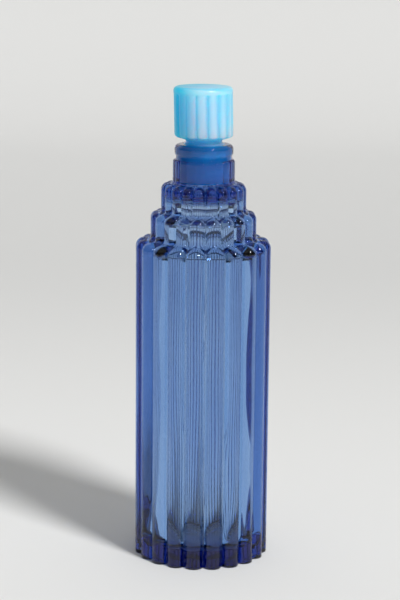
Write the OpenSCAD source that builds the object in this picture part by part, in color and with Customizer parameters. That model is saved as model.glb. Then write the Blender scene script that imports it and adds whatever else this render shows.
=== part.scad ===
// Stepped, ribbed glass bottle with a ground-in glass stopper.
// Two separate pieces: the moulded bottle and the stopper that lifts out of it.
// The origin is the centre of the underside, and +Z is the bottle's own axis.
// Radii grow outwards from the bore: every step is set from the one inside it.

/* [Ribs] */
// Number of ribs round the bottle, in line on every step
rib_count = 20; // [14:1:22]
// Depth of the valleys between the body's ribs
body_rib_depth = 4.2; // [1.6:0.1:4.3]
// Depth of the valleys round the shoulder step
shoulder_rib_depth = 3.1; // [1.3:0.1:3.4]
// Depth of the valleys round the collar step
collar_rib_depth = 2.4; // [1:0.1:2.7]
// Depth of the valleys round the neck
neck_rib_depth = 0.5; // [0.3:0.1:2]

/* [Step heights] */
// Height of the tall body, from the underside to the first ledge
body_h = 194.2; // [120:0.1:260]
// Height of the shoulder step
shoulder_h = 16.3; // [12:0.1:26]
// Height of the collar step
collar_h = 17.3; // [13:0.1:26]
// Height of the ribbed neck
neck_h = 14.2; // [9:0.1:24]

/* [Step widths] */
// Ledge from the shoulder's rib crests out to the body's
body_step = 8.9; // [6.5:0.1:14]
// Ledge from the collar's rib crests out to the shoulder's
shoulder_step = 6.2; // [5.5:0.1:12]
// Ledge from the neck's rib crests out to the collar's
collar_step = 7.0; // [6:0.1:12]

/* [Rounded step edges] */
// Rounding of the body's top edge
body_edge_r = 4.8; // [2:0.1:6]
// Rounding of the shoulder's top edge
shoulder_edge_r = 3.8; // [2:0.1:5]
// Rounding of the collar's top edge
collar_edge_r = 4.4; // [2:0.1:5.5]
// Rounding of the neck's top edge
neck_edge_r = 2.0; // [1:0.1:2.5]
// Bevel of the rib ends round the foot
foot_bevel = 0.5; // [0.3:0.1:1.5]

/* [Lip] */
// Height of the groove under the lip
groove_h = 1.6; // [1:0.1:5]
// Glass from the mouth out to the bottom of the groove
groove_wall = 5.35; // [3:0.05:5.5]
// Height of the rounded lip ring
lip_h = 7.4; // [5.8:0.1:10]
// Rounding of the lip ring's upper and lower edges
lip_edge_r = 2.6; // [1:0.1:2.8]
// Glass from the mouth out to the widest part of the lip
lip_wall = 6.1; // [5.6:0.05:9]

/* [Glass thickness] */
// Thickness of the heavy base
base_t = 8.0; // [6:0.1:20]
// Rounding of the body chamber's floor corner
floor_edge_r = 9; // [4:0.1:14]
// Wall of the body, measured at the rib crests
body_wall = 6.4; // [6:0.1:9]
// Wall of the shoulder, measured at the rib crests
shoulder_wall = 5.2; // [5:0.1:7.5]
// Wall of the collar, measured at the rib crests
collar_wall = 4.5; // [4.4:0.1:7]
// Wall of the neck, from the mouth to the rib crests
neck_wall = 7.15; // [6:0.05:10]
// Thickness of the glass under each ledge
ledge_t = 4.0; // [3.8:0.1:7]
// Rounding of the chambers' inside corners under the ledges
chamber_edge_r = 6; // [3:0.1:7]

/* [Plug and mouth] */
// Radius of the ground plug where it enters the mouth
plug_top_r = 11.3; // [10:0.1:14]
// Taper of the plug: how much its radius shrinks down its length
plug_taper = 1.2; // [0.8:0.1:3]
// Length of the ground plug below the lip's top
plug_h = 24; // [16:0.1:30]
// Gap between the plug and the ground mouth, on the radius
seat_clearance = 0.05; // [0.02:0.01:0.1]
// Bevel of the mouth's inner edge at the lip's top
mouth_bevel = 1.0; // [0.4:0.1:1.6]
// Bevel of the plug's lower end
plug_bevel = 0.8; // [0.3:0.1:1.5]

/* [Stopper] */
// Number of ribs round the stopper's head
head_rib_count = 16; // [10:1:24]
// Radius over the rib crests of the head
head_crest_r = 17.45; // [15:0.05:22]
// Depth of the valleys round the head
head_rib_depth = 0.8; // [0.4:0.1:1.2]
// Height of the head
head_h = 29.8; // [18:0.1:40]
// Height of the plain rounded rim above the ribs
head_rim_h = 4.6; // [3:0.1:7]
// How far the plain rim stands proud of the rib crests
head_rim_proud = 0.15; // [0.05:0.05:0.5]
// Rounding of the rim's top edge
head_edge_r = 2.6; // [1:0.1:2.9]
// Rounding of the head's lower edge
head_foot_r = 1.6; // [0.5:0.1:2.5]
// Height of the flare by which the waist widens onto the top of the plug
waist_flare = 1.6; // [0.5:0.1:4]
// Height of the waist's straight part, above the flare
waist_h = 0.2; // [0.1:0.1:5]
// How far the waist is drawn in from the top of the plug
waist_draw = 0.5; // [0.2:0.1:1.5]
// Rounding of the corner between the waist and the head's underside
waist_root_r = 1.2; // [0.5:0.1:2]
// How far the head's underside slopes down from its edge to the waist
head_slope = 1.2; // [0.4:0.1:2]
// Turn of the head's ribs against the bottle's ribs
head_turn = 6; // [0:0.5:22]

/* [Hidden] */
$fn = 96;

// Radii, from the mouth outwards
mouth_r = plug_top_r + seat_clearance;
groove_r = mouth_r + groove_wall;
lip_r = mouth_r + lip_wall;
neck_crest_r = mouth_r + neck_wall;
collar_crest_r = neck_crest_r + collar_step;
shoulder_crest_r = collar_crest_r + shoulder_step;
body_crest_r = shoulder_crest_r + body_step;
plug_bottom_r = plug_top_r - plug_taper;
throat_r = plug_bottom_r + seat_clearance;
waist_r = plug_top_r - waist_draw;

// Heights, from the underside up
shoulder_top = body_h + shoulder_h;
collar_top = shoulder_top + collar_h;
neck_top = collar_top + neck_h;
lip_bottom = neck_top + groove_h;
lip_top = lip_bottom + lip_h;
plug_bottom = lip_top - plug_h;
waist_bottom = lip_top + waist_flare;
waist_top = waist_bottom + waist_h;
head_bottom = waist_top + waist_root_r + head_slope;
head_top = head_bottom + head_h;

// A small overlap that lets stacked solids join, and cuts run clear of a face
overlap = 1;
// The rounding of an edge starts this far outside the rib crests
edge_lead = 0.2;
// The core behind the ribs lies this many valley depths inside the crests
rib_backing = 1.1;

// Centre distance of the round ribs that reach crest_r and meet at crest_r - depth
function rib_centre(crest_r, depth, count) =
    let (valley_r = crest_r - depth)
    (crest_r * crest_r - valley_r * valley_r)
        / (2 * (crest_r - valley_r * cos(180 / count)));

// Radius of the tapered seat at a height, for the plug or for the mouth round it
function seat_r(bottom_r, top_r, height) =
    bottom_r + (top_r - bottom_r) * (height - plug_bottom) / plug_h;

// Outline of a ring of round ribs. A valley lies on the -Y axis when turn is 0.
module ribbed_outline(crest_r, depth, count, turn) {
    centre = rib_centre(crest_r, depth, count);
    circle(r = crest_r - rib_backing * depth);
    for (i = [0 : count - 1])
        rotate(-90 + turn + (i + 0.5) * 360 / count)
            translate([centre, 0])
                circle(r = crest_r - centre);
}

// A round solid between two heights, with its top edge rounded
module rounded_drum(r, bottom, top, edge_r) {
    translate([0, 0, bottom])
        cylinder(r = r - edge_r, h = top - bottom);
    translate([0, 0, bottom])
        cylinder(r = r, h = top - edge_r - bottom);
    translate([0, 0, top - edge_r])
        rotate_extrude()
            translate([r - edge_r, 0])
                intersection() {
                    circle(r = edge_r);
                    square(edge_r);
                }
}

// One ribbed step of the bottle with a rounded top edge
module ribbed_step(crest_r, depth, bottom, top, edge_r) {
    intersection() {
        translate([0, 0, bottom])
            linear_extrude(top - bottom)
                ribbed_outline(crest_r, depth, rib_count, 0);
        rounded_drum(crest_r + edge_lead, bottom, top, edge_r);
    }
}

// The ring that a 45 degree bevel takes off the foot
module foot_cut() {
    rotate_extrude()
        polygon([
            [body_crest_r - foot_bevel, 0],
            [body_crest_r + overlap, -overlap],
            [body_crest_r + overlap, foot_bevel + overlap]
        ]);
}

module bottle_outside() {
    difference() {
        ribbed_step(body_crest_r, body_rib_depth, 0, body_h, body_edge_r);
        foot_cut();
    }
    ribbed_step(shoulder_crest_r, shoulder_rib_depth, body_h - overlap, shoulder_top,
        shoulder_edge_r);
    ribbed_step(collar_crest_r, collar_rib_depth, shoulder_top - overlap, collar_top,
        collar_edge_r);
    ribbed_step(neck_crest_r, neck_rib_depth, collar_top - overlap, neck_top, neck_edge_r);
    translate([0, 0, neck_top - overlap])
        cylinder(r = groove_r, h = groove_h + 2 * overlap);
    lip_ring();
}

// The lip: a band with a rounded upper and lower edge
module lip_ring() {
    inner_r = lip_r - lip_edge_r;
    translate([0, 0, lip_bottom])
        rotate_extrude() {
            square([inner_r, lip_h]);
            translate([0, lip_edge_r])
                square([lip_r, lip_h - 2 * lip_edge_r]);
            translate([inner_r, lip_edge_r])
                circle(r = lip_edge_r);
            translate([inner_r, lip_h - lip_edge_r])
                circle(r = lip_edge_r);
        }
}

// One round chamber inside the bottle
module chamber(r, bottom, top) {
    rounded_drum(r, bottom, top, chamber_edge_r);
}

// The body's chamber, with its floor corner rounded too
module body_chamber() {
    r = body_crest_r - body_wall;
    chamber(r, base_t + floor_edge_r, body_h - ledge_t);
    mirror([0, 0, 1])
        rounded_drum(r, -base_t - floor_edge_r - overlap, -base_t, floor_edge_r);
}

module bottle_inside() {
    body_chamber();
    chamber(shoulder_crest_r - shoulder_wall, body_h - ledge_t - 2 * chamber_edge_r,
        shoulder_top - ledge_t);
    chamber(collar_crest_r - collar_wall, shoulder_top - ledge_t - 2 * chamber_edge_r,
        collar_top - ledge_t);
    translate([0, 0, shoulder_top])
        cylinder(r = throat_r, h = plug_bottom - shoulder_top + overlap);
    mouth();
}

// The tapered seat that the plug is ground into, bevelled where it opens
module mouth() {
    bevel_bottom = lip_top - mouth_bevel;
    bevel_bottom_r = seat_r(throat_r, mouth_r, bevel_bottom);
    rotate_extrude()
        polygon([
            [0, plug_bottom],
            [throat_r, plug_bottom],
            [bevel_bottom_r, bevel_bottom],
            [mouth_r + mouth_bevel, lip_top],
            [mouth_r + mouth_bevel, lip_top + overlap],
            [0, lip_top + overlap]
        ]);
}

module bottle() {
    color([0.16, 0.33, 0.72])
        difference() {
            bottle_outside();
            bottle_inside();
        }
}

module stopper_head() {
    intersection() {
        translate([0, 0, head_bottom])
            linear_extrude(head_h - head_rim_h + overlap)
                ribbed_outline(head_crest_r, head_rib_depth, head_rib_count, head_turn);
        mirror([0, 0, 1])
            rounded_drum(head_crest_r + edge_lead, -head_top, -head_bottom, head_foot_r);
    }
    rounded_drum(head_crest_r + head_rim_proud, head_top - head_rim_h, head_top, head_edge_r);
}

// The waist and the tapered plug, turned as one profile
module stopper_stem() {
    bevel_top = plug_bottom + plug_bevel;
    bevel_top_r = seat_r(plug_bottom_r, plug_top_r, bevel_top);
    slope_end_r = head_crest_r - head_rib_depth - head_foot_r;
    rotate_extrude()
        difference() {
            polygon([
                [0, plug_bottom],
                [bevel_top_r - plug_bevel, plug_bottom],
                [bevel_top_r, bevel_top],
                [plug_top_r, lip_top],
                [waist_r, waist_bottom],
                [waist_r, waist_top],
                [waist_r + waist_root_r, waist_top + waist_root_r],
                [slope_end_r, head_bottom],
                [slope_end_r, head_bottom + overlap],
                [0, head_bottom + overlap]
            ]);
            translate([waist_r + waist_root_r, waist_top])
                circle(r = waist_root_r);
        }
}

module stopper() {
    color([0.45, 0.78, 0.95]) {
        stopper_head();
        stopper_stem();
    }
}

bottle();
stopper();
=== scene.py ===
import math

import bpy
from mathutils import Matrix, Vector, noise


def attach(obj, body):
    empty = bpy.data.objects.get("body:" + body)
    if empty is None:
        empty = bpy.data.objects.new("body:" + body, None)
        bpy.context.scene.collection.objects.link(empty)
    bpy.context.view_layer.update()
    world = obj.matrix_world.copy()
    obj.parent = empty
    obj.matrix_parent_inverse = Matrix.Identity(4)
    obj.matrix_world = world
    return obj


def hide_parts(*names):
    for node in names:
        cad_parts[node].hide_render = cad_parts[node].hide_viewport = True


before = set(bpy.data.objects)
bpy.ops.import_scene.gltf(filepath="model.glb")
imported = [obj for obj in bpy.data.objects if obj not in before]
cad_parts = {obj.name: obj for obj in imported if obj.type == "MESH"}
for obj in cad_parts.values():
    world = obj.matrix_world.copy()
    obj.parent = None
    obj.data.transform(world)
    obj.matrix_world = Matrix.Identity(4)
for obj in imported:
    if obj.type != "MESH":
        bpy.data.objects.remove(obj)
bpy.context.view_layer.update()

# ---------------------------------------------------------------- sizes, in metres
MM = 0.001
RIBS = 20
HEAD_RIBS = 16
HEAD_TURN = math.radians(6)

# Heights of the steps, from the underside up
BODY_TOP = 194.2 * MM
SHOULDER_TOP = 210.5 * MM
COLLAR_TOP = 227.8 * MM
NECK_TOP = 242.0 * MM
LIP_BOTTOM = 243.6 * MM
LIP_TOP = 251.0 * MM

# Radii over the rib crests, and the depth of the valleys between them
BODY_R = 40.6 * MM
SHOULDER_R = 31.7 * MM
COLLAR_R = 25.5 * MM
NECK_R = 18.5 * MM
BODY_DEPTH = 4.2 * MM
SHOULDER_DEPTH = 3.1 * MM
COLLAR_DEPTH = 2.4 * MM
NECK_DEPTH = 0.5 * MM
GROOVE_R = 16.7 * MM
LIP_R = 17.45 * MM
LIP_EDGE = 2.6 * MM
LIP_START = -50  # degrees, where the lip's round leaves the groove

# Roundings of the outer walls
FOOT_BEVEL = 0.5 * MM
FOOT_RING = 4 * MM  # the flat ring under the rim, in from the crests
HOLLOW_RING = 5 * MM
HOLLOW_EDGE = 7 * MM
BODY_EDGE = 4.8 * MM
SHOULDER_EDGE = 3.8 * MM
COLLAR_EDGE = 4.4 * MM
NECK_EDGE = 1.6 * MM
STEP_ROOT = 1.5 * MM
LIP_ROOT = 0.5 * MM
VALLEY_FILLET = 0.5 * MM
AXIS_R = 1.0 * MM  # the smallest ring, next to the point on the axis

# Inside the bottle
BASE_T = 8.0 * MM
BODY_IN = 34.2 * MM
BODY_IN_TOP = 33.4 * MM
SHOULDER_IN = 26.5 * MM
COLLAR_IN = 21.0 * MM
BODY_LEDGE = 4.0 * MM
SHOULDER_LEDGE = 3.2 * MM
COLLAR_LEDGE = 7.0 * MM
CHAMBER_EDGE = 6.0 * MM
FLOOR_EDGE = 9.0 * MM
FOOT_HOLLOW = 1.5 * MM
MOUTH_R = 11.35 * MM
THROAT_R = 10.15 * MM
MOUTH_BEVEL = 1.0 * MM
CEILING_FLARE = 2.0 * MM

# The uneven inner wall: how far its swells and streaks reach, and how wide and tall they are
WAVE_BROAD = 1.0 * MM
WAVE_FINE = 0.12 * MM
WAVE_STEPS = 0.15 * MM
WAVE_STEPS_RISE = 4 * MM
BROAD_WIDTH, BROAD_HEIGHT = 14 * MM, 45 * MM
FINE_WIDTH, FINE_HEIGHT = 2.6 * MM, 60 * MM
WAVE_SEED = 3.7

# The stopper
PLUG_TOP_R = 11.3 * MM
PLUG_BOTTOM_R = 10.1 * MM
PLUG_BOTTOM = 227.0 * MM
WAIST_R = 10.8 * MM
HEAD_BOTTOM = 255.2 * MM
HEAD_TOP = 285.0 * MM
HEAD_R = 17.45 * MM
HEAD_DEPTH = 0.8 * MM
RIM_R = 17.6 * MM
RIM_H = 4.6 * MM
RIM_RISE = 1.2 * MM
RIM_EDGE = 2.6 * MM
PLUG_BEVEL = 0.8 * MM
PLUG_FIT = 0.07 * MM  # the ground plug meets the mouth with no film of air between
PLUG_FLARE = 1.6 * MM
PLUG_FLARE_R = 0.9 * MM
HEAD_ROOT = 1.2 * MM
HEAD_SLOPE = 1.2 * MM
HEAD_FOOT = 1.6 * MM
HEAD_LEAN = math.radians(1.4)
GROUND_EDGE = 0.3 * MM  # the ground surface ends this far below the lip
SEAM = 0.02 * MM

# How finely a rib is divided
ARC_COLUMNS = 22
FILLET_COLUMNS = 6

# Cobalt glass: what it absorbs per millimetre of red, green and blue
ABSORB = (0.132, 0.081, 0.027)
DENSITY = 200.0
ABSORB_COLOUR = tuple(1 - 1000 * a / DENSITY for a in ABSORB)

# Opal glass: its deep colour, the pale painted light laid over the head's lit side and rib
# crests, and where that painted light sets in
OPAL_DEEP = (0.0, 0.43, 0.84, 1)
OPAL_PAINTED_LIGHT = (0.42, 0.58, 0.87, 1)
OPAL_RADIUS = (0.05, 0.8, 1.0)
OPAL_SCALE = 0.07
# Painted light: the side of the head, in its own frame, over which the pale colour is painted,
# and the span along that side over which it fades in
PAINTED_LIGHT_AZ = math.radians(-35)
PAINTED_LIGHT_FROM = -10 * MM
PAINTED_LIGHT_TO = 8 * MM
# Painted highlight: the share of the painted light that the rib valleys keep, against the full
# share on the crests
VALLEY_PAINTED_LIGHT = 0.5
PLUG_COLOUR = (0.02, 0.56, 0.86, 1)
PLUG_SCALE = 0.01

# The paper: pale floor, with painted shade that darkens it along Y towards the back in place of
# the light's falloff
FLOOR_ALBEDO = 0.8
BACK_PAINTED_SHADE_ALBEDO = 0.62
PAPER_WARMTH = 0.985
PAINTED_FALLOFF_FROM = -0.1
PAINTED_FALLOFF_TO = 1.0
SWEEP_HALF = 7.0
SWEEP_FRONT = -7.0
SWEEP_BREAK = -0.5
SWEEP_CURVE = 1.9
SWEEP_RADIUS = 0.8
SWEEP_TOP = 4.0

# Soft light: the key lamp's strength, its place as seen from the camera and its width, in degrees
KEY = 3.05
KEY_AZ = 40
KEY_EL = 38
KEY_WIDTH = 13.5
SKY_TOP = 0.42
SKY_LOW = 0.05
SKY_RISE = (0.1, 0.8)

# The camera, fitted to the photograph
CAMERA_BACK = 1.0983
CAMERA_UP = 0.38637
CAMERA_AZIMUTH = math.radians(2.5)
CAMERA_PITCH = math.radians(11.815)
CAMERA_ROLL = math.radians(0.5)
FOCAL_PIXELS = 1865.5
IMAGE_HEIGHT = 600
AXIS_OFFSET = 2.7  # pixels
SENSOR = 36

# ---------------------------------------------------------------- outlines
# An outline is a list of stations (r, z, dr, dz): a point of the crest line, and how far
# the valleys between the ribs lie in from it, along r and along z.

def run(a, b, steps):
    """Stations from a up to, not including, b."""
    return [tuple(p + (q - p) * i / steps for p, q in zip(a, b)) for i in range(steps)]


def arc(cr, cz, radius, start, end, steps, depth=0.0, depth_end=None):
    """Stations round a corner. The angles are in degrees, 0 outwards and 90 up."""
    depth_end = depth if depth_end is None else depth_end
    out = []
    for i in range(steps):
        t = i / steps
        a = math.radians(start + (end - start) * t)
        d = depth + (depth_end - depth) * t
        out.append((cr + radius * math.cos(a), cz + radius * math.sin(a),
                    d * math.cos(a), d * math.sin(a)))
    return out


def step_outline(r, depth, top, edge, root, next_r, next_depth):
    """A ribbed wall's rounded top edge, its ledge, and the soft root of the next wall."""
    lip = (r - edge, top, 0.0, depth)
    inner = (next_r + root, top, 0.35 * next_depth, 0.15 * depth)
    out = arc(r - edge, top - edge, edge, 0, 90, 14, depth)
    out += run(lip, inner, 8)
    for i in range(8):
        a = math.radians(90 * i / 8)
        share = i / 8
        out.append((next_r + root - root * math.sin(a), top + root - root * math.cos(a),
                    next_depth * (0.35 + 0.65 * share), 0.15 * depth * (1 - share)))
    return out


def rib_columns(crest_r, depth, count, fillet):
    """Columns of one rib: (angle from the crest, share of the depth), valley to valley.

    The rib is an arc of a circle, and a fillet joins it to the next rib. The columns are spaced
    evenly along the arc, so that its steep flanks are as finely divided as its crest.
    """
    half = math.pi / count
    reach = crest_r + fillet
    g = crest_r - depth + fillet
    centre = (reach ** 2 - g ** 2) / (2 * (reach - g * math.cos(half)))
    radius = crest_r - centre
    lean = math.atan2(g * math.sin(half), g * math.cos(half) - centre)
    points = []
    for i in range(ARC_COLUMNS + 1):
        b = lean * (2 * i / ARC_COLUMNS - 1)
        points.append((centre + radius * math.cos(b), radius * math.sin(b)))
    gx, gy = g * math.cos(half), g * math.sin(half)
    for i in range(1, FILLET_COLUMNS):
        b = math.pi + lean + (half - lean) * 2 * i / FILLET_COLUMNS
        points.append((gx + fillet * math.cos(b), gy + fillet * math.sin(b)))
    return [(math.atan2(y, x), (crest_r - math.hypot(x, y)) / depth) for x, y in points]


def revolve(name, outline, valley, columns, turn=0.0, wave=None):
    """A closed shell from an outline whose first and last stations are on the axis."""
    verts, faces = [], []
    rings = outline[1:-1]
    verts.append((0.0, 0.0, outline[0][1]))
    for k, (r, z, dr, dz) in enumerate(rings):
        for i in range(columns):
            rib, column = divmod(i, len(valley))
            offset, v = valley[column]
            angle = turn + (rib + 0.5) * 2 * math.pi * len(valley) / columns + offset
            rr, zz = r - dr * v, z - dz * v
            if wave:
                rr += wave(k, rr, angle, zz)
            verts.append((rr * math.cos(angle), rr * math.sin(angle), zz))
    verts.append((0.0, 0.0, outline[-1][1]))
    last = len(verts) - 1
    for i in range(columns):
        j = (i + 1) % columns
        faces.append((0, 1 + j, 1 + i))
        for k in range(len(rings) - 1):
            a, b = 1 + k * columns, 1 + (k + 1) * columns
            faces.append((a + i, a + j, b + j, b + i))
        a = 1 + (len(rings) - 1) * columns
        faces.append((a + i, a + j, last))
    mesh = bpy.data.meshes.new(name)
    mesh.from_pydata(verts, [], faces)
    mesh.validate()
    for p in mesh.polygons:
        p.use_smooth = True
    obj = bpy.data.objects.new(name, mesh)
    bpy.context.scene.collection.objects.link(obj)
    return obj


# ---------------------------------------------------------------- materials
def new_material(name):
    mat = bpy.data.materials.new(name)
    mat.use_nodes = True
    return mat, mat.node_tree.nodes, mat.node_tree.links


def glass(name, absorb_colour, absorb_density):
    """Clear polished glass that takes colour from the light along its path."""
    mat, nodes, links = new_material(name)
    shader = nodes["Principled BSDF"]
    shader.inputs["Base Color"].default_value = (1, 1, 1, 1)
    shader.inputs["Transmission Weight"].default_value = 1.0
    shader.inputs["IOR"].default_value = 1.5
    shader.inputs["Roughness"].default_value = 0.0
    volume = nodes.new("ShaderNodeVolumeAbsorption")
    volume.inputs["Color"].default_value = (*absorb_colour, 1)
    volume.inputs["Density"].default_value = absorb_density
    links.new(volume.outputs["Volume"], nodes["Material Output"].inputs["Volume"])
    return mat


def opal_glass(name, scale, roughness, ior, coat):
    """Milky glass that scatters light inside. Its colour is set by the caller."""
    mat, nodes, links = new_material(name)
    shader = nodes["Principled BSDF"]
    shader.inputs["Subsurface Weight"].default_value = 1.0
    shader.inputs["Subsurface Radius"].default_value = OPAL_RADIUS
    shader.inputs["Subsurface Scale"].default_value = scale
    shader.inputs["Roughness"].default_value = roughness
    shader.inputs["IOR"].default_value = ior
    shader.inputs["Coat Weight"].default_value = coat
    shader.inputs["Coat Roughness"].default_value = 0.05
    return mat, nodes, links, shader


def head_glass():
    """Turquoise opal glass with painted light: a pale colour painted over the lit side of the
    head, strongest along its rib crests.
    """
    mat, nodes, links, shader = opal_glass(
        "turquoise_opal_glass", OPAL_SCALE, roughness=0.35, ior=1.35, coat=0.25)
    coords = nodes.new("ShaderNodeTexCoord")
    turn = nodes.new("ShaderNodeVectorMath")
    turn.operation = "DOT_PRODUCT"
    turn.inputs[1].default_value = (math.cos(PAINTED_LIGHT_AZ), math.sin(PAINTED_LIGHT_AZ), 0)
    links.new(coords.outputs["Object"], turn.inputs[0])
    # Painted light: the pale colour sets in towards the lit side of the head
    lit_side_paint = nodes.new("ShaderNodeMapRange")
    lit_side_paint.interpolation_type = "SMOOTHSTEP"
    lit_side_paint.inputs["From Min"].default_value = PAINTED_LIGHT_FROM
    lit_side_paint.inputs["From Max"].default_value = PAINTED_LIGHT_TO
    links.new(turn.outputs["Value"], lit_side_paint.inputs["Value"])
    flat = nodes.new("ShaderNodeVectorMath")
    flat.operation = "MULTIPLY"
    flat.inputs[1].default_value = (1, 1, 0)
    links.new(coords.outputs["Object"], flat.inputs[0])
    out = nodes.new("ShaderNodeVectorMath")
    out.operation = "LENGTH"
    links.new(flat.outputs["Vector"], out.inputs[0])
    # Painted highlight: the pale colour is strongest on the rib crests and weaker in the valleys
    crest = nodes.new("ShaderNodeMapRange")
    crest.interpolation_type = "SMOOTHSTEP"
    crest.inputs["From Min"].default_value = HEAD_R - HEAD_DEPTH
    crest.inputs["From Max"].default_value = HEAD_R
    crest.inputs["To Min"].default_value = VALLEY_PAINTED_LIGHT
    links.new(out.outputs["Value"], crest.inputs["Value"])
    painted_light_mask = nodes.new("ShaderNodeMath")
    painted_light_mask.operation = "MULTIPLY"
    links.new(lit_side_paint.outputs["Result"], painted_light_mask.inputs[0])
    links.new(crest.outputs["Result"], painted_light_mask.inputs[1])
    mix = nodes.new("ShaderNodeMix")
    mix.data_type = "RGBA"
    mix.inputs["A"].default_value = OPAL_DEEP
    mix.inputs["B"].default_value = OPAL_PAINTED_LIGHT
    links.new(painted_light_mask.outputs["Value"], mix.inputs["Factor"])
    links.new(mix.outputs["Result"], shader.inputs["Base Color"])
    return mat


def plug_glass():
    """The ground plug, which meets the ground mouth with no bright surface between."""
    mat, nodes, links, shader = opal_glass(
        "ground_opal_glass", PLUG_SCALE, roughness=0.6, ior=1.1, coat=0.0)
    shader.inputs["Base Color"].default_value = PLUG_COLOUR
    return mat


def floor_material():
    """Pale paper with painted shade that darkens it towards the back in place of the light's
    falloff, the same for every ray.
    """
    mat, nodes, links = new_material("studio_sweep")
    shader = nodes["Principled BSDF"]
    coords = nodes.new("ShaderNodeTexCoord")
    split = nodes.new("ShaderNodeSeparateXYZ")
    # Painted shade: the paper's colour darkens along Y, from the floor's albedo to a darker one
    # at the back
    painted_falloff = nodes.new("ShaderNodeMapRange")
    painted_falloff.interpolation_type = "SMOOTHSTEP"
    painted_falloff.inputs["From Min"].default_value = PAINTED_FALLOFF_FROM
    painted_falloff.inputs["From Max"].default_value = PAINTED_FALLOFF_TO
    mix = nodes.new("ShaderNodeMix")
    mix.data_type = "RGBA"
    for socket, albedo in (("A", FLOOR_ALBEDO), ("B", BACK_PAINTED_SHADE_ALBEDO)):
        mix.inputs[socket].default_value = (albedo, albedo, albedo * PAPER_WARMTH, 1)
    links.new(coords.outputs["Object"], split.inputs["Vector"])
    links.new(split.outputs["Y"], painted_falloff.inputs["Value"])
    links.new(painted_falloff.outputs["Result"], mix.inputs["Factor"])
    links.new(mix.outputs["Result"], shader.inputs["Base Color"])
    shader.inputs["Roughness"].default_value = 0.9
    shader.inputs["Specular IOR Level"].default_value = 0.1
    return mat


# ---------------------------------------------------------------- the bottle
PER_RIB = ARC_COLUMNS + FILLET_COLUMNS
COLUMNS = RIBS * PER_RIB
RIB_TURN = -math.pi / 2


def bottle_outline():
    """From the underside's centre out over the foot, and up over the steps to the mouth."""
    bevel = FOOT_BEVEL
    edge, root = BODY_EDGE, STEP_ROOT
    out = [(0, FOOT_HOLLOW, 0, 0)]
    for i in range(12):
        r = AXIS_R + (BODY_R - HOLLOW_RING - AXIS_R) * i / 11
        t = max(0.0, 1 - (r / (BODY_R - HOLLOW_EDGE)) ** 2)
        out.append((r, FOOT_HOLLOW * t, 0, 0))
    out += run((BODY_R - FOOT_RING, 0, 0, 0), (BODY_R - 2 * bevel, 0, BODY_DEPTH, 0), 3)
    out += arc(BODY_R - bevel, bevel, bevel, -90, 0, 6, 0)
    out = [(r, z, BODY_DEPTH if r > BODY_R - 2 * bevel else BODY_DEPTH * (r / BODY_R) ** 4, 0)
           for r, z, _, _ in out]
    wall = (BODY_R, bevel, BODY_DEPTH, 0)
    out += run(wall, (BODY_R, BODY_TOP - edge, BODY_DEPTH, 0), 24)
    out += step_outline(BODY_R, BODY_DEPTH, BODY_TOP, edge, root, SHOULDER_R, SHOULDER_DEPTH)
    edge = SHOULDER_EDGE
    out += run((SHOULDER_R, BODY_TOP + root, SHOULDER_DEPTH, 0),
               (SHOULDER_R, SHOULDER_TOP - edge, SHOULDER_DEPTH, 0), 6)
    out += step_outline(SHOULDER_R, SHOULDER_DEPTH, SHOULDER_TOP, edge, root,
                        COLLAR_R, COLLAR_DEPTH)
    edge = COLLAR_EDGE
    out += run((COLLAR_R, SHOULDER_TOP + root, COLLAR_DEPTH, 0),
               (COLLAR_R, COLLAR_TOP - edge, COLLAR_DEPTH, 0), 6)
    out += step_outline(COLLAR_R, COLLAR_DEPTH, COLLAR_TOP, edge, root, NECK_R, NECK_DEPTH)
    edge, root = NECK_EDGE, LIP_ROOT
    out += run((NECK_R, COLLAR_TOP + STEP_ROOT, NECK_DEPTH, 0),
               (NECK_R, NECK_TOP - edge, NECK_DEPTH, 0), 6)
    out += step_outline(NECK_R, NECK_DEPTH, NECK_TOP, edge, root, GROOVE_R, 0)
    start = LIP_START
    meet = (LIP_R - LIP_EDGE + LIP_EDGE * math.cos(math.radians(start)),
            LIP_BOTTOM + LIP_EDGE + LIP_EDGE * math.sin(math.radians(start)), 0, 0)
    out += run((GROOVE_R, NECK_TOP + root, 0, 0), meet, 6)
    out += arc(LIP_R - LIP_EDGE, LIP_BOTTOM + LIP_EDGE, LIP_EDGE, start, 0, 8)
    out += arc(LIP_R - LIP_EDGE, LIP_TOP - LIP_EDGE, LIP_EDGE, 0, 90, 12)
    out += run((LIP_R - LIP_EDGE, LIP_TOP, 0, 0), (MOUTH_R + MOUTH_BEVEL, LIP_TOP, 0, 0), 3)
    return out


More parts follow.
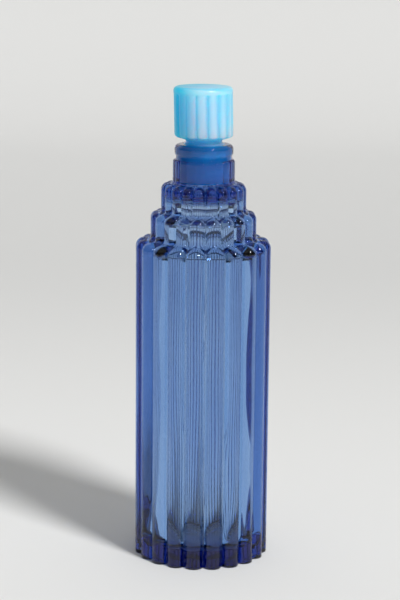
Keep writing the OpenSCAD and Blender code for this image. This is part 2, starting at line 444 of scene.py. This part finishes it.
def chamber_outline():
    """From the mouth down through the throat and the three chambers to the floor's centre."""
    out = []
    mouth_z = LIP_TOP - MOUTH_BEVEL
    for i in range(5):
        a = math.radians(90 * i / 5)
        out.append((MOUTH_R + MOUTH_BEVEL * (1 - math.sin(a)),
                    LIP_TOP - MOUTH_BEVEL * (1 - math.cos(a)), 0, 0))
    slope = (MOUTH_R - THROAT_R) / (LIP_TOP - PLUG_BOTTOM)
    out += run((MOUTH_R - slope * MOUTH_BEVEL, mouth_z, 0, 0), (THROAT_R, PLUG_BOTTOM, 0, 0), 12)
    ceilings = [COLLAR_TOP - COLLAR_LEDGE, SHOULDER_TOP - SHOULDER_LEDGE, BODY_TOP - BODY_LEDGE]
    radii = [THROAT_R, COLLAR_IN, SHOULDER_IN, BODY_IN_TOP]
    z = PLUG_BOTTOM
    flare = CEILING_FLARE
    for r_in, r_out, ceiling in zip(radii, radii[1:], ceilings):
        out += run((r_in, z, 0, 0), (r_in, ceiling + flare, 0, 0), 4)
        for i in range(6):
            a = math.radians(90 * i / 6)
            out.append((r_in + flare * (1 - math.cos(a)),
                        ceiling + flare * (1 - math.sin(a)), 0, 0))
        edge = min(CHAMBER_EDGE, (r_out - r_in - flare) * 0.98)
        out += run((r_in + flare, ceiling, 0, 0), (r_out - edge, ceiling, 0, 0), 2)
        out += arc(r_out - edge, ceiling - edge, edge, 90, 0, 8)
        z = ceiling - edge
    out += run((BODY_IN_TOP, z, 0, 0), (BODY_IN, BASE_T + FLOOR_EDGE, 0, 0), 30)
    out += arc(BODY_IN - FLOOR_EDGE, BASE_T + FLOOR_EDGE, FLOOR_EDGE, 0, -90, 10)
    out += run((BODY_IN - FLOOR_EDGE, BASE_T, 0, 0), (AXIS_R, BASE_T, 0, 0), 8)
    out.append((0, BASE_T, 0, 0))
    return out


blue_glass = glass("cobalt_glass", ABSORB_COLOUR, DENSITY)

outside = bottle_outline()
inside = chamber_outline()
INSIDE_FROM = len(outside) - 1


def chamber_wave(k, r, angle, z):
    """The uneven inner wall of pressed glass: broad swells, and fine streaks that run down it.

    k counts the outline's stations, and those before INSIDE_FROM are outside.
    """
    if k < INSIDE_FROM or z > COLLAR_TOP - COLLAR_LEDGE:
        return 0.0
    x, y = r * math.cos(angle), r * math.sin(angle)
    broad = noise.noise(Vector((x / BROAD_WIDTH, y / BROAD_WIDTH, z / BROAD_HEIGHT + WAVE_SEED)))
    fine = noise.noise(Vector((x / FINE_WIDTH, y / FINE_WIDTH, z / FINE_HEIGHT + WAVE_SEED)))
    steps = WAVE_STEPS * min(1.0, max(0.0, (z - BODY_TOP) / WAVE_STEPS_RISE))
    return WAVE_BROAD * broad + (WAVE_FINE + steps) * fine


bottle = revolve("bottle_glass", outside + inside,
                 rib_columns(BODY_R, BODY_DEPTH, RIBS, VALLEY_FILLET), COLUMNS, RIB_TURN,
                 chamber_wave)
bottle.data.materials.append(blue_glass)
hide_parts("bottle")
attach(bottle, "bottle")

# ---------------------------------------------------------------- the stopper
def stopper_outline():
    """From the plug's lower end up over the waist and the head to the centre of its top."""
    bevel = PLUG_BEVEL
    plug_bottom_r, plug_top_r = PLUG_BOTTOM_R + PLUG_FIT, PLUG_TOP_R + PLUG_FIT
    out = [(0, PLUG_BOTTOM, 0, 0)]
    out += run((AXIS_R, PLUG_BOTTOM, 0, 0), (plug_bottom_r - bevel, PLUG_BOTTOM, 0, 0), 6)
    out += arc(plug_bottom_r - bevel, PLUG_BOTTOM + bevel, bevel, -90, -10, 5)
    seat = (plug_top_r - plug_bottom_r) / (LIP_TOP - PLUG_BOTTOM)
    out += run((plug_bottom_r + seat * bevel, PLUG_BOTTOM + bevel, 0, 0),
               (plug_top_r, LIP_TOP, 0, 0), 12)
    flare = PLUG_FLARE
    for i in range(6):
        a = math.radians(90 * i / 6)
        out.append((WAIST_R + (plug_top_r + PLUG_FLARE_R - WAIST_R) * (1 - math.sin(a)),
                    LIP_TOP + flare * (1 - math.cos(a)) + SEAM, 0, 0))
    root = HEAD_ROOT
    root_z = HEAD_BOTTOM - HEAD_SLOPE
    for i in range(6):
        a = math.radians(75 * i / 5)
        out.append((WAIST_R + root * (1 - math.cos(a)), root_z - root + root * math.sin(a), 0, 0))
    foot = HEAD_FOOT
    out += run((WAIST_R + root, root_z, 0, 0),
               (HEAD_R - foot, HEAD_BOTTOM, HEAD_DEPTH * 0.5, 0), 6)
    out += arc(HEAD_R - foot, HEAD_BOTTOM + foot, foot, -75, 0, 8, HEAD_DEPTH)
    rib_top = HEAD_TOP - RIM_H
    out += run((HEAD_R, HEAD_BOTTOM + foot, HEAD_DEPTH, 0), (HEAD_R, rib_top, HEAD_DEPTH, 0), 16)
    out += run((HEAD_R, rib_top, HEAD_DEPTH, 0), (RIM_R, rib_top + RIM_RISE, 0, 0), 6)
    edge = RIM_EDGE
    out += run((RIM_R, rib_top + RIM_RISE, 0, 0), (RIM_R, HEAD_TOP - edge, 0, 0), 2)
    out += arc(RIM_R - edge, HEAD_TOP - edge, edge, 0, 90, 10)
    out += run((RIM_R - edge, HEAD_TOP, 0, 0), (AXIS_R, HEAD_TOP, 0, 0), 8)
    out.append((0, HEAD_TOP, 0, 0))
    return out


stopper = revolve("stopper_glass", stopper_outline(),
                  rib_columns(HEAD_R, HEAD_DEPTH, HEAD_RIBS, VALLEY_FILLET), HEAD_RIBS * PER_RIB,
                  -math.pi / 2 + HEAD_TURN)
for v in stopper.data.vertices:
    if v.co.z > LIP_TOP:
        v.co.x -= (v.co.z - LIP_TOP) * math.tan(HEAD_LEAN)
stopper.data.materials.append(head_glass())
stopper.data.materials.append(plug_glass())
for p in stopper.data.polygons:
    if p.center.z < LIP_TOP - GROUND_EDGE:
        p.material_index = 1
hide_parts("stopper")
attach(stopper, "stopper")

# ---------------------------------------------------------------- floor and backdrop
def sweep():
    """A floor that curves up into a back wall."""
    line = [(SWEEP_FRONT, 0.0), (SWEEP_BREAK, 0.0), (SWEEP_CURVE, 0.0)]
    for i in range(1, 17):
        a = math.radians(90 * i / 16)
        line.append((SWEEP_CURVE + SWEEP_RADIUS * math.sin(a), SWEEP_RADIUS * (1 - math.cos(a))))
    line.append((SWEEP_CURVE + SWEEP_RADIUS, SWEEP_TOP))
    verts = [(x, y, z) for y, z in line for x in (-SWEEP_HALF, SWEEP_HALF)]
    faces = [(2 * i, 2 * i + 1, 2 * i + 3, 2 * i + 2) for i in range(len(line) - 1)]
    mesh = bpy.data.meshes.new("sweep")
    mesh.from_pydata(verts, [], faces)
    for p in mesh.polygons:
        p.use_smooth = True
    obj = bpy.data.objects.new("sweep", mesh)
    bpy.context.scene.collection.objects.link(obj)
    obj.rotation_euler.z = -CAMERA_AZIMUTH
    mesh.materials.append(floor_material())


sweep()

# ---------------------------------------------------------------- light
def distant_softbox(name, azimuth, elevation, width, strength):
    """A soft lamp so far off that it lights the floor evenly. Azimuth is from the camera."""
    a = -math.pi / 2 - CAMERA_AZIMUTH + math.radians(azimuth)
    e = math.radians(elevation)
    towards = Vector((math.cos(a) * math.cos(e), math.sin(a) * math.cos(e), math.sin(e)))
    lamp = bpy.data.lights.new(name, "SUN")
    lamp.angle = math.radians(width)
    lamp.energy = strength
    obj = bpy.data.objects.new(name, lamp)
    obj.location = towards
    obj.rotation_euler = (-towards).to_track_quat("-Z", "Y").to_euler()
    bpy.context.scene.collection.objects.link(obj)


distant_softbox("key", KEY_AZ, KEY_EL, KEY_WIDTH, KEY)

world = bpy.data.worlds.new("studio")
bpy.context.scene.world = world
world.use_nodes = True
nodes, links = world.node_tree.nodes, world.node_tree.links
coords = nodes.new("ShaderNodeTexCoord")
split = nodes.new("ShaderNodeSeparateXYZ")
rise = nodes.new("ShaderNodeMapRange")
rise.interpolation_type = "SMOOTHSTEP"
rise.inputs["From Min"].default_value = SKY_RISE[0]
rise.inputs["From Max"].default_value = SKY_RISE[1]
rise.inputs["To Min"].default_value = SKY_LOW
rise.inputs["To Max"].default_value = SKY_TOP
links.new(coords.outputs["Generated"], split.inputs["Vector"])
links.new(split.outputs["Z"], rise.inputs["Value"])
links.new(rise.outputs["Result"], nodes["Background"].inputs["Strength"])
nodes["Background"].inputs["Color"].default_value = (1, 1, 1, 1)

# ---------------------------------------------------------------- camera
camera = bpy.data.cameras.new("camera")
camera.sensor_width = SENSOR
camera.lens = FOCAL_PIXELS / IMAGE_HEIGHT * SENSOR
camera_object = bpy.data.objects.new("camera", camera)
bpy.context.scene.collection.objects.link(camera_object)
azimuth_turn = Matrix.Rotation(-CAMERA_AZIMUTH, 4, "Z")
place = Matrix.Translation((0, -CAMERA_BACK, CAMERA_UP))
yaw = Matrix.Rotation(math.atan(AXIS_OFFSET / FOCAL_PIXELS), 4, "Z")
pitch = Matrix.Rotation(math.pi / 2 - CAMERA_PITCH, 4, "X")
roll = Matrix.Rotation(CAMERA_ROLL, 4, "Z")
camera_object.matrix_world = azimuth_turn @ place @ yaw @ pitch @ roll
bpy.context.scene.camera = camera_object

bpy.context.scene.view_settings.view_transform = "Standard"
